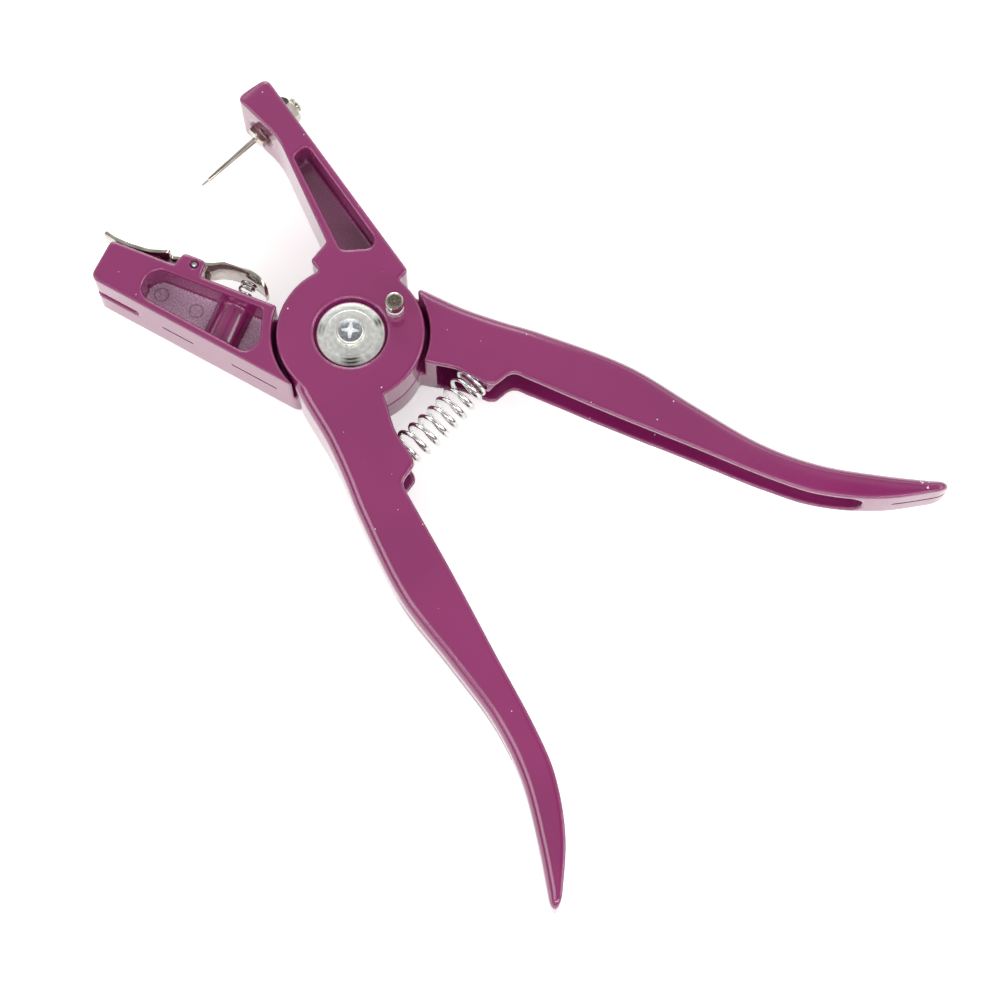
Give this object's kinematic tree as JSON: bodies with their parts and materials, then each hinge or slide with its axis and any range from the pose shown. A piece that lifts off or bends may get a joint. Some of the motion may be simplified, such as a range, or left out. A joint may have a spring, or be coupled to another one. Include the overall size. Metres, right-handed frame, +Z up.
{
  "type": "ear tag applicator",
  "caption": "Plier-like hand tool with two cast levers on one pivot, a piercing pin on one jaw and a sprung tag clip on the other, and a coil spring between the handles.",
  "frame": {"origin": "on the pivot's axis, in the plane of the underside of the hub and jaws", "axes": "+Z up along the pivot towards the washer and screw, +X between the two jaws, +Y towards the clip jaw"},
  "size_m": [0.2302, 0.1628, 0.0283],
  "materials": {
    "enamel": "purple baked enamel over die-cast aluminium, satin gloss",
    "zinc_plate": "bright zinc plate over turned and stamped steel",
    "nickel": "warm nickel plate over steel",
    "spring_wire": "bright drawn spring wire"
  },
  "bodies": {
    "rear": {"rear_lever": "enamel", "pivot_sleeve": "zinc_plate", "pivot_washer": "zinc_plate", "pivot_screw": "zinc_plate", "handle_spring": "spring_wire", "clip_hinge_pin": "zinc_plate", "clip_spring": "spring_wire"},
    "front": {"front_lever": "enamel", "applicator_pin": "nickel", "pin_nut": "nickel", "hub_stud": "nickel"},
    "clip": {"clip": "nickel"}
  },
  "joints": [
    {"name": "handle_squeeze", "type": "hinge", "parent": "rear", "child": "front", "pos_m": [0, 0, 0.0105], "axis": [0, 0, 1], "range_deg": [0, 30], "stiffness_Nm_per_rad": 1, "deforming": ["handle_spring"]},
    {"name": "clip_lift", "type": "hinge", "parent": "rear", "child": "clip", "pos_m": [0.04724, 0.01553, 0.0105], "axis": [0, 0, -1], "range_deg": [0, 8], "stiffness_Nm_per_rad": 0.15, "deforming": ["clip_spring"]}
  ]
}
